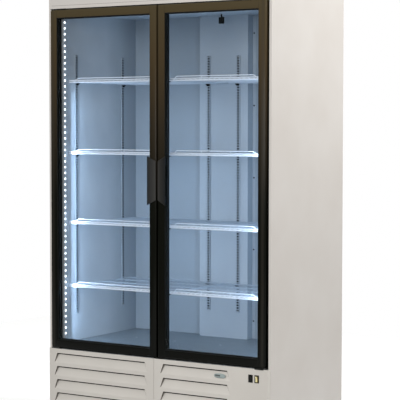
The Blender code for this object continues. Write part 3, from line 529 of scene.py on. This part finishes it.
def wire(shape, points, radius, sides=8):
    """Bends a round wire along the points, mitred at each bend."""
    points = [Vector(p) for p in points]
    rings = []
    for i, point in enumerate(points):
        before = (point - points[i - 1]).normalized() if i else None
        after = (points[i + 1] - point).normalized() if i < len(points) - 1 else None
        along = ((before or after) + (after or before)).normalized()
        across = along.cross(Vector((0, 0, 1)))
        if across.length < 0.1:
            across = along.cross(Vector((0, 1, 0)))
        across.normalize()
        over = across.cross(along)
        turns = [2 * math.pi * k / sides for k in range(sides)]
        rings.append([shape.verts.new(point + radius * (math.cos(t) * across + math.sin(t) * over))
                      for t in turns])
    for low, high in zip(rings, rings[1:]):
        for k in range(sides):
            shape.faces.new((low[k], high[k], high[(k + 1) % sides], low[(k + 1) % sides]))
    shape.faces.new(rings[0])
    shape.faces.new(list(reversed(rings[-1])))


def turned(shape, profile, place, out, index=0):
    """Turns a profile of (radius, height) points round an axis that starts at place and points
    out."""
    home = Matrix.Translation(place) @ Vector(out).to_track_quat("Z", "Y").to_matrix().to_4x4()
    rings = []
    for radius, height in profile:
        ring = []
        for k in range(TURN_SIDES):
            t = 2 * math.pi * k / TURN_SIDES
            spot = Vector((radius * math.cos(t), radius * math.sin(t), height))
            ring.append(shape.verts.new(home @ spot))
        rings.append(ring)
    made = []
    for low, high in zip(rings, rings[1:]):
        for k in range(TURN_SIDES):
            following = (k + 1) % TURN_SIDES
            made.append(shape.faces.new((low[k], low[following], high[following], high[k])))
    made.append(shape.faces.new(list(reversed(rings[0]))))
    made.append(shape.faces.new(rings[-1]))
    for face in made:
        face.material_index = index


def screw(shape, place, out, radius=SCREW_R, index=0):
    """Pan-head screw with a round drive recess."""
    shares = ((1, 0), (1, 0.25), (0.86, 0.52), (0.5, 0.64), (0.42, 0.64), (0.34, 0.30))
    turned(shape, [(r * radius, h * radius) for r, h in shares], place, out, index)


def ring_block(shape, lo, hi, width):
    """A rectangular ring in the XZ plane, with y running from lo to hi."""
    x0, y0, z0 = lo
    x1, y1, z1 = hi
    block(shape, (x0, y0, z0), (x0 + width, y1, z1))
    block(shape, (x1 - width, y0, z0), (x1, y1, z1))
    block(shape, (x0 + width, y0, z0), (x1 - width, y1, z0 + width))
    block(shape, (x0 + width, y0, z1 - width), (x1 - width, y1, z1))


def dress(material, *names):
    """Gives CAD nodes whose shape is right their finish."""
    for name in names:
        for holder in NODES[name].material_slots:
            holder.material = material


# ---- Cabinet shell -------------------------------------------------------------------------
def cabinet_shell():
    """Outer sheets, insulation, the strip round the opening, mullion, door stop and feet."""
    for name in ("left_side_panel", "right_side_panel", "top_panel"):
        formed(name, PAINT, 0.7 * MM)
    formed("header_panel", PAINT, 1.2 * MM, 3)
    # painted shade along the fold just above the header's lower edge
    lo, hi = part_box("header_panel")
    shape = bmesh.new()
    block(shape, (lo[0] + FOLD_END, lo[1] - 0.2 * MM, lo[2] + FOLD_UP),
          (hi[0] - FOLD_END, lo[1] + 0.4 * MM, lo[2] + FOLD_UP + FOLD_H))
    piece("header_fold_shade", shape, [FOLD_SHADE], "cabinet")
    dress(ZINC, "base_pan", "sill_rail", "back_panel")
    dress(FOAM, "foam_insulation")
    formed("breaker_frame", BORDER, 1.0 * MM)
    formed("centre_mullion", BLACK_ABS, 2.0 * MM, 3)
    formed("door_stop", BLACK_ABS, 1.5 * MM, 3)
    for end in ("front", "rear"):
        for side, _ in SIDES:
            formed(f"foot_{end}_{side}", FOOT_RUBBER, 1.0 * MM)


def back_screws():
    """Sheet-metal screws down both sides of the back sheet, sunk so that they don't stand proud."""
    lo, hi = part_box("back_panel")
    shape = bmesh.new()
    run = hi[2] - lo[2] - 2 * BACK_SCREW_END
    for i in range(BACK_SCREW_ROWS):
        z = lo[2] + BACK_SCREW_END + run * i / (BACK_SCREW_ROWS - 1)
        for x in (lo[0] + BACK_SCREW_IN, hi[0] - BACK_SCREW_IN):
            screw(shape, (x, hi[1] - 1.4 * MM, z), (0, 1, 0), BACK_SCREW_R)
    piece("back_sheet_screws", shape, [SCREW_METAL], "cabinet")


def slant_return(shape, edge, way, wide, top, y):
    """Turned-in end of a pressed louvre, along the slant of its opening."""
    low = top - LOUVRE_H
    outline = [(edge + way * LOUVRE_TAPER, top), (edge + way * (LOUVRE_TAPER + wide), top),
               (edge + way * 0.6 * wide, low), (edge, low)]
    near = [shape.verts.new((x, y, z)) for x, z in outline]
    far = [shape.verts.new((x, y + RETURN_T, z)) for x, z in outline]
    faces = [shape.faces.new(near), shape.faces.new(list(reversed(far)))]
    for k in range(4):
        faces.append(shape.faces.new((near[k], far[k], far[(k + 1) % 4], near[(k + 1) % 4])))
    bmesh.ops.recalc_face_normals(shape, faces=faces)


def grilles():
    """Louvred panels, each with a dust filter behind it, and a blank plate on the right one."""
    for side, _ in SIDES:
        formed(f"grille_{side}", GRILLE_PAINT, 0.5 * MM)
        lo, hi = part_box(f"grille_{side}")
        left = lo[0] + LOUVRE_MARGIN
        right = hi[0] - (LOUVRE_MARGIN if side == "left" else SWITCH_END)
        shape = bmesh.new()
        # each opening's turned-in ends carry painted shade
        for i in range(LOUVRE_ROWS):
            top = hi[2] - LOUVRE_TOP - i * LOUVRE_PITCH
            for edge, way, wide in zip((left, right), (1, -1), RETURN_W):
                slant_return(shape, edge, way, wide, top, lo[1] + 1.0 * MM)
        piece(f"grille_{side}_louvre_ends", shape, [LOUVRE_SHADE], "cabinet")
        # the dust filter hangs behind the louvres, clear of their blades
        # its near black also stands in as painted shade for the machine space behind them
        shape = bmesh.new()
        block(shape, (left - FILTER_LAP, hi[1] + FILTER_GAP, lo[2] + FILTER_FOOT),
              (right + FILTER_LAP, hi[1] + FILTER_GAP + FILTER_T, hi[2] - FILTER_HEAD))
        piece(f"grille_{side}_dust_filter", shape, [FILTER], "cabinet", 1.0 * MM)
    blank_badge()


def blank_badge():
    """A plain oval plate with a darker inset, and nothing written on it."""
    lo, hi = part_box("grille_right")
    x, face, z = hi[0] - BADGE_IN, lo[1], hi[2] - BADGE_DOWN
    half_w, half_h = BADGE_HALF
    shape = bmesh.new()
    rings = []
    for grow, out in ((1.0, -0.1 * MM), (1.0, 0.9 * MM), (0.93, 1.5 * MM), (0.0, 1.6 * MM)):
        ring = []
        for k in range(BADGE_EDGE):
            t = 2 * math.pi * k / BADGE_EDGE
            # a power under one squares the oval's ends a little
            u, v = (math.copysign(abs(f(t)) ** 0.75, f(t)) for f in (math.cos, math.sin))
            spot = (x + half_w * grow * u, face - out, z + half_h * grow * v)
            ring.append(shape.verts.new(spot))
        rings.append(ring)
    for low, high in zip(rings, rings[1:]):
        for k in range(BADGE_EDGE):
            following = (k + 1) % BADGE_EDGE
            shape.faces.new((low[k], low[following], high[following], high[k]))
    shape.faces.new(list(reversed(rings[0])))
    bmesh.ops.remove_doubles(shape, verts=shape.verts, dist=WELD)
    bmesh.ops.recalc_face_normals(shape, faces=shape.faces)
    piece("blank_badge", shape, [BADGE], "cabinet", smooth=50)
    shape = bmesh.new()
    block(shape, (x + BADGE_INSET_X[0] * half_w, face - 2.0 * MM, z + BADGE_INSET_Z[0] * half_h),
          (x + BADGE_INSET_X[1] * half_w, face - 1.2 * MM, z + BADGE_INSET_Z[1] * half_h))
    piece("blank_badge_inset", shape, [BADGE_INSET], "cabinet", 0.3 * MM)


def switches():
    """A black rocker and a lit amber one, each in a moulded bezel."""
    for kind in ("power", "light"):
        formed(f"switch_housing_{kind}", BLACK_ABS, 0.6 * MM, 3)
    formed("rocker_power", BLACK_ABS, 0.5 * MM, 3)
    formed("rocker_light", AMBER, 0.5 * MM, 3)


def hinges():
    """Black steel plates, and a moulded cap under the corner of the right door."""
    for side, _ in SIDES:
        for level in ("top", "bottom"):
            formed(f"hinge_{level}_{side}", BLACK_ENAMEL, 0.6 * MM)
    lo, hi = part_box("right_door_frame")
    grille_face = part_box("grille_right")[0][1]
    shape = bmesh.new()
    block(shape, (hi[0] - CAP_FROM_EDGE[0], grille_face + CAP_Y[0], lo[2] + CAP_Z[0]),
          (hi[0] - CAP_FROM_EDGE[1], grille_face + CAP_Y[1], lo[2] + CAP_Z[1]))
    piece("right_hinge_cap", shape, [BLACK_ABS], "cabinet", 1.6 * MM, 3)


# ---- Doors ---------------------------------------------------------------------------------
def door(side):
    """One leaf: bronze frame, pull, gasket, and two panes with a black spacer between them."""
    body = f"{side}_door"
    formed(f"{side}_door_frame", BRONZE, 0.9 * MM, 3)
    formed(f"{side}_door_handle", GRIP, 1.0 * MM, 3)
    formed(f"{side}_door_gasket", GASKET, 2.0 * MM, 3)
    lo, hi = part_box(f"{side}_door_glass")
    for label, y in (("outer", lo[1]), ("inner", hi[1] - PANE_T)):
        shape = bmesh.new()
        block(shape, (lo[0], y, lo[2]), (hi[0], y + PANE_T, hi[2]))
        pane = piece(f"{side}_{label}_pane", shape, [PANE], body, 0.4 * MM)
        if label == "outer":
            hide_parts(f"{side}_door_glass")
    shape = bmesh.new()
    ring_block(shape, (lo[0], lo[1] + PANE_T, lo[2]), (hi[0], hi[1] - PANE_T, hi[2]), SPACER_W)
    piece(f"{side}_glass_spacer", shape, [BORDER], body)
    # hairline where each rail butts against its stile
    rim_lo, rim_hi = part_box(f"{side}_door_frame")
    shape = bmesh.new()
    rails = ((rim_lo[2] + JOINT_END, lo[2] + LIP_COVER), (hi[2] - LIP_COVER, rim_hi[2] - JOINT_END))
    for x in (lo[0] + LIP_COVER, hi[0] - LIP_COVER):
        for z0, z1 in rails:
            block(shape, (x - JOINT_W / 2, rim_lo[1] - 0.05 * MM, z0),
                  (x + JOINT_W / 2, rim_lo[1] + 0.4 * MM, z1))
    piece(f"{side}_frame_joints", shape, [BORDER], body)
    # a soft bead seals the pane to the frame's lip
    inset = LIP_COVER - 0.5 * MM
    shape = bmesh.new()
    ring_block(shape, (lo[0] + inset, lo[1] - GLAZING_BEAD, lo[2] + inset),
               (hi[0] - inset, lo[1], hi[2] - inset), GLAZING_BEAD)
    piece(f"{side}_glazing_bead", shape, [GASKET], body, 0.8 * MM)


# ---- Cold space ----------------------------------------------------------------------------
def cold_space():
    """Liner, rear duct with screwed flanges, floor tray and ceiling probe."""
    dress(LINER, "inner_liner")
    dress(DUCT, "rear_air_duct")
    dress(TRAY, "floor_tray")
    formed("temperature_probe", BLACK_ABS, 3.0 * MM, 3)
    duct_lo, duct_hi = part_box("rear_air_duct")
    tray_lo, tray_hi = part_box("floor_tray")
    shape = bmesh.new()
    front = duct_hi[1] - FLANGE_T
    run = duct_hi[2] - duct_lo[2] - 2 * DUCT_SCREW_END
    for edge, sign in ((duct_lo[0], -1), (duct_hi[0], 1)):
        x0, x1 = sorted((edge + sign * 0.2 * MM, edge + sign * DUCT_FLANGE))
        block(shape, (x0, front, duct_lo[2] + FLANGE_END),
              (x1, duct_hi[1], duct_hi[2] - FLANGE_END))
        for i in range(DUCT_SCREWS):
            z = duct_lo[2] + DUCT_SCREW_END + run * i / (DUCT_SCREWS - 1)
            screw(shape, ((x0 + x1) / 2, front, z), (0, -1, 0), SCREW_R, 1)
    piece("duct_flanges", shape, [DUCT, SLOT_DARK], "cabinet", 0.3 * MM)
    shape = bmesh.new()
    for reach in TRAY_SCREW_X:
        for x in (tray_lo[0] + reach, tray_hi[0] - reach):
            screw(shape, (x, tray_lo[1] + TRAY_SCREW_Y, tray_hi[2]), (0, 0, 1), TRAY_SCREW_R)
    piece("floor_tray_screws", shape, [SCREW_METAL], "cabinet")


def slotted_strip(name, wall, out, across, clip_reach):
    """Punched strip with painted shade behind its slots, a screw at each end and pressed clips.

    wall is a point of the strip's back face, out points away from the wall and across along it.
    clip_reach is how far a clip stands out from the wall."""
    lo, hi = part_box(name)
    wall, out, across = Vector(wall), Vector(out), Vector(across)

    def add(shape, u, v, z, index=0):
        a = wall + across * u[0] + out * v[0]
        b = wall + across * u[1] + out * v[1]
        block(shape, (min(a.x, b.x), min(a.y, b.y), z[0]), (max(a.x, b.x), max(a.y, b.y), z[1]),
              index)

    half = STRIP_W / 2
    slot = SLOT_W / 2
    front = (STRIP_T - STRIP_SHEET, STRIP_T)
    shape = bmesh.new()
    for sign in (-1, 1):
        rail = sorted((sign * slot, sign * half))
        add(shape, rail, front, (lo[2], hi[2]))
        flange = sorted((sign * half, sign * (half - STRIP_SHEET)))
        add(shape, flange, (0, STRIP_T - STRIP_SHEET), (lo[2], hi[2]))
    count = int((hi[2] - lo[2]) / SLOT_PITCH)
    web = SLOT_PITCH - SLOT_H
    for i in range(count + 1):
        z = lo[2] + i * SLOT_PITCH
        add(shape, (-slot, slot), front, (z, min(z + web, hi[2])))
    add(shape, (-half + STRIP_SHEET, half - STRIP_SHEET), STRIP_RECESS, (lo[2], hi[2]), 1)
    for z in (lo[2] + STRIP_SCREW_IN, hi[2] - STRIP_SCREW_IN):
        spot = wall + out * STRIP_T
        screw(shape, (spot.x, spot.y, z), out, STRIP_SCREW_R, 2)
    strip = piece(name + "_punched", shape, [STRIP, SLOT_DARK, SCREW_METAL], "cabinet")
    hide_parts(name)
    shape = bmesh.new()
    for i in range(SHELF_LEVELS):
        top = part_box(f"shelf_left_{i + 1}")[0][2] - CLIP_GAP
        outline = [(STRIP_T, top - CLIP_H), (STRIP_T, top), (clip_reach, top),
                   (clip_reach, top - CLIP_TIP), (STRIP_T + CLIP_ROOT, top - CLIP_H)]
        corners = []
        for u in (-CLIP_HALF, CLIP_HALF):
            for v, z in outline:
                spot = wall + across * u + out * v
                corners.append(shape.verts.new((spot.x, spot.y, z)))
        n = len(outline)
        shape.faces.new(corners[:n])
        shape.faces.new(list(reversed(corners[n:])))
        for k in range(n):
            after = (k + 1) % n
            shape.faces.new((corners[k], corners[k + n], corners[after + n], corners[after]))
    bmesh.ops.recalc_face_normals(shape, faces=shape.faces)
    piece(name + "_clips", shape, [SLOT_DARK], "cabinet", 0.4 * MM)


def strips():
    """Strips on both walls, on the rear duct and on the back of the mullion."""
    for side, sign in SIDES:
        for spot in ("front", "rear"):
            name = f"pilaster_{side}_{spot}"
            lo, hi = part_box(name)
            wall_x = lo[0] if sign < 0 else hi[0]
            slotted_strip(name, (wall_x, (lo[1] + hi[1]) / 2, 0), (-sign, 0, 0), (0, 1, 0),
                          hi[0] - lo[0])
        name = f"pilaster_duct_{side}"
        lo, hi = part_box(name)
        slotted_strip(name, ((lo[0] + hi[0]) / 2, hi[1], 0), (0, -1, 0), (1, 0, 0), hi[1] - lo[1])
    name = "pilaster_mullion"
    lo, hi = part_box(name)
    slotted_strip(name, ((lo[0] + hi[0]) / 2, lo[1], 0), (0, 1, 0), (1, 0, 0), hi[1] - lo[1])


def wire_shelf(name):
    """Welded shelf: rim, stays, close deck wires running back, and a raised guard wire along the
    front."""
    lo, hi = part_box(name)
    x0, x1 = lo[0] + RIM_WIRE / 2, hi[0] - RIM_WIRE / 2
    y0, y1 = lo[1] + RIM_WIRE / 2, hi[1] - RIM_WIRE / 2
    z = lo[2] + RIM_WIRE / 2
    deck = lo[2] + RIM_WIRE + 0.2 * DECK_WIRE
    guard_y = lo[1] + GUARD_Y
    guard_z = hi[2] + GUARD_LIFT - GUARD_WIRE / 2
    shape = bmesh.new()
    for y in (y0, y1):
        wire(shape, [(lo[0], y, z), (hi[0], y, z)], RIM_WIRE / 2)
    ledge = lo[2] + LEDGE_UP
    wire(shape, [(lo[0], y0, ledge), (hi[0], y0, ledge)], STAY_WIRE / 2)
    for x in (x0, x1):
        wire(shape, [(x, y0, z), (x, y1, z)], RIM_WIRE / 2)
    for share in STAY_SHARES:
        y = y0 + share * (y1 - y0)
        wire(shape, [(x0, y, z), (x1, y, z)], STAY_WIRE / 2)
    nose, shoulder, step = (lo[1] + reach for reach in DECK_NOSE)
    count = round((x1 - x0) / DECK_PITCH)
    for i in range(1, count):
        x = x0 + (x1 - x0) * i / count
        wire(shape, [(x, nose, z), (x, nose, ledge), (x, shoulder, ledge), (x, step, deck),
                     (x, y1, deck)], DECK_WIRE / 2, 6)
        if i % GUARD_POST_EVERY == 0:
            wire(shape, [(x, guard_y, z), (x, guard_y, guard_z)], DECK_WIRE / 2, 6)
    rise = guard_z - deck
    run = GUARD_BEND_LEFT[name.split("_")[1]]
    left = [(lo[0] + GUARD_END + u * run, guard_y, deck + v * rise) for u, v in GUARD_CURVE]
    tail = hi[0] - (GUARD_SHORT if name.startswith("shelf_right") else GUARD_END)
    right = [(tail - u * GUARD_BEND, guard_y, deck + v * rise) for u, v in reversed(GUARD_CURVE)]
    wire(shape, left + right, GUARD_WIRE / 2)
    bmesh.ops.recalc_face_normals(shape, faces=shape.faces)
    made = piece(name + "_wires", shape, [WIRE], "cabinet", smooth=60)
    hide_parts(name)


def shelves():
    """Four levels on each side of the mullion."""
    for side, _ in SIDES:
        for i in range(SHELF_LEVELS):
            wire_shelf(f"shelf_{side}_{i + 1}")


def light_bars():
    """Channel at each jamb with a row of small lenses facing the middle of the cabinet."""
    for side, sign in SIDES:
        name = f"led_bar_{side}"
        formed(name, LIGHT_CHANNEL, 1.5 * MM, 3)
        lo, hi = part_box(name)
        face = lo[0] if sign > 0 else hi[0]
        dome = [(LAMP_R, -0.2 * MM), (LAMP_R, 0.6 * MM), (0.8 * LAMP_R, 1.6 * MM),
                (0.4 * LAMP_R, 2.2 * MM), (0.05 * LAMP_R, 2.4 * MM)]
        shape = bmesh.new()
        count = int((hi[2] - lo[2]) / LAMP_PITCH)
        start = (lo[2] + hi[2] - (count - 1) * LAMP_PITCH) / 2
        for i in range(count):
            turned(shape, dome, (face, lo[1] + LAMP_Y, start + i * LAMP_PITCH), (-sign, 0, 0))
        piece(name + "_lenses", shape, [LAMP], "cabinet")


# ---- Machinery -----------------------------------------------------------------------------
def finned_coil(name, fin_pitch, tube_pitch):
    """Stack of thin fins between two end plates, with copper tubes through them."""
    lo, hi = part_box(name)
    shape = bmesh.new()
    count = int((hi[0] - lo[0]) / fin_pitch)
    for i in range(count + 1):
        x = lo[0] + (hi[0] - lo[0] - FIN_T) * i / count
        block(shape, (x, lo[1] + FIN_SETBACK, lo[2]), (x + FIN_T, hi[1], hi[2]))
    for x in (lo[0], hi[0] - COIL_PLATE):
        block(shape, (x, lo[1], lo[2]), (x + COIL_PLATE, hi[1], hi[2]))
    made = piece(name + "_fins", shape, [FIN], "cabinet")
    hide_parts(name)
    shape = bmesh.new()
    middle = (lo[1] + hi[1]) / 2
    rows = max(2, int((hi[2] - lo[2]) / tube_pitch))
    for i in range(rows):
        z = lo[2] + (hi[2] - lo[2]) * (i + 0.5) / rows
        wire(shape, [(lo[0] + 1 * MM, middle, z), (hi[0] - 1 * MM, middle, z)], COIL_TUBE_R, 12)
    piece(name + "_tubes", shape, [COPPER], "cabinet")


def machinery():
    """Coils, compressor, fan motor, fan and blower."""
    finned_coil("condenser_coil", 6 * MM, 25 * MM)
    finned_coil("evaporator_coil", 8 * MM, 30 * MM)
    formed("compressor", BLACK_ENAMEL, 4 * MM, 3)
    formed("condenser_fan_motor", ZINC, 1.5 * MM)
    formed("condenser_fan", BLACK_ABS, 0.4 * MM)
    formed("evaporator_fan", BLACK_ABS, 0.4 * MM)


# ---- Studio --------------------------------------------------------------------------------
def camera():
    """A long lens, from the front right at chest height."""
    lens = bpy.data.cameras.new("camera")
    lens.lens = LENS_MM
    lens.sensor_width = SENSOR_MM
    lens.clip_end = 100
    made = bpy.data.objects.new("camera", lens)
    bpy.context.scene.collection.objects.link(made)
    swing = Matrix.Rotation(math.radians(CAMERA_AZIMUTH), 4, "Z")
    tilt = Matrix.Rotation(math.radians(90 - CAMERA_DIP), 4, "X")
    roll = Matrix.Rotation(math.radians(CAMERA_ROLL), 4, "Z")
    made.matrix_world = Matrix.Translation(CAMERA_PLACE) @ (swing @ tilt) @ roll
    bpy.context.scene.camera = made


def area_light(name, place, target, size, watts, colour="ffffff"):
    """A soft rectangular light that points at its target and isn't seen itself."""
    lamp = bpy.data.lights.new(name, "AREA")
    lamp.shape = "RECTANGLE"
    lamp.size, lamp.size_y = size
    lamp.energy = watts
    lamp.color = linear(colour)[:3]
    made = bpy.data.objects.new(name, lamp)
    bpy.context.scene.collection.objects.link(made)
    made.location = place
    aim = Vector(target) - Vector(place)
    made.rotation_euler = aim.to_track_quat("-Z", "Y").to_euler()
    made.visible_camera = False
    return made


def studio():
    """White room, two softboxes, and the light that the lamps throw on the liner."""
    world = bpy.data.worlds.new("white_studio")
    bpy.context.scene.world = world
    world.use_nodes = True
    tree = world.node_tree
    tree.nodes.clear()
    # light comes mostly from above, so a face looking down is in soft shade
    place = node(tree, "ShaderNodeTexCoord")
    parts = node(tree, "ShaderNodeSeparateXYZ", links={"Vector": place.outputs["Generated"]})
    level = node(tree, "ShaderNodeMapRange",
                 {"From Min": -0.4, "From Max": 0.5, "To Min": SKY_LOW, "To Max": SKY_HIGH},
                 {"Value": parts.outputs["Z"]})
    room = node(tree, "ShaderNodeBackground", {"Color": (1, 1, 1, 1)},
                {"Strength": level.outputs["Result"]})
    sweep = node(tree, "ShaderNodeBackground", {"Color": (1, 1, 1, 1), "Strength": 1.0})
    path = node(tree, "ShaderNodeLightPath")
    both = node(tree, "ShaderNodeMixShader", links={0: path.outputs["Is Camera Ray"],
                                                    1: room.outputs[0], 2: sweep.outputs[0]})
    node(tree, "ShaderNodeOutputWorld", links={"Surface": both.outputs[0]})
    for name, (spot, target, size, watts) in SOFTBOXES.items():
        area_light(name, spot, target, size, watts)
    lo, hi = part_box("inner_liner")
    low, high = lo[2] + JAMB_LIGHT_FOOT, hi[2] - JAMB_LIGHT_HEAD
    middle = (low + high) / 2
    inwards, back = JAMB_LIGHT_AIM
    for side, sign in SIDES:
        x = (hi[0] if sign > 0 else lo[0]) - sign * JAMB_LIGHT_IN
        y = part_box(f"led_bar_{side}")[1][1] + JAMB_LIGHT_BACK
        target = (x - sign * inwards, y + back, middle)
        tube = area_light(f"{side}_jamb_light", (x, y, middle), target,
                          (JAMB_LIGHT_W, high - low), JAMB_LIGHT_WATTS, "c0deff")
        tube.data.spread = math.radians(JAMB_LIGHT_SPREAD)


def floor():
    """Plain pale floor that throws no light back up at the cabinet."""
    shape = bmesh.new()
    block(shape, (-FLOOR_HALF, -FLOOR_HALF, -FLOOR_T), (FLOOR_HALF, FLOOR_HALF, 0.0))
    mesh = bpy.data.meshes.new("studio_floor")
    shape.to_mesh(mesh)
    shape.free()
    material, tree, shader = finish("matt_white_floor_paint", "f6f6f5", 0.8, Emission_Strength=0.40)
    shader.inputs["Emission Color"].default_value = linear("ffffff")
    mottle(tree, shader, 600 * MM, "f8f8f7", "f4f4f3")
    mesh.materials.append(material)
    made = bpy.data.objects.new("studio_floor", mesh)
    bpy.context.scene.collection.objects.link(made)
    made.visible_diffuse = False


cabinet_shell()
back_screws()
grilles()
switches()
hinges()
for side, _ in SIDES:
    door(side)
cold_space()
strips()
shelves()
light_bars()
machinery()
camera()
studio()
floor()
bpy.context.scene.view_settings.view_transform = "Standard"
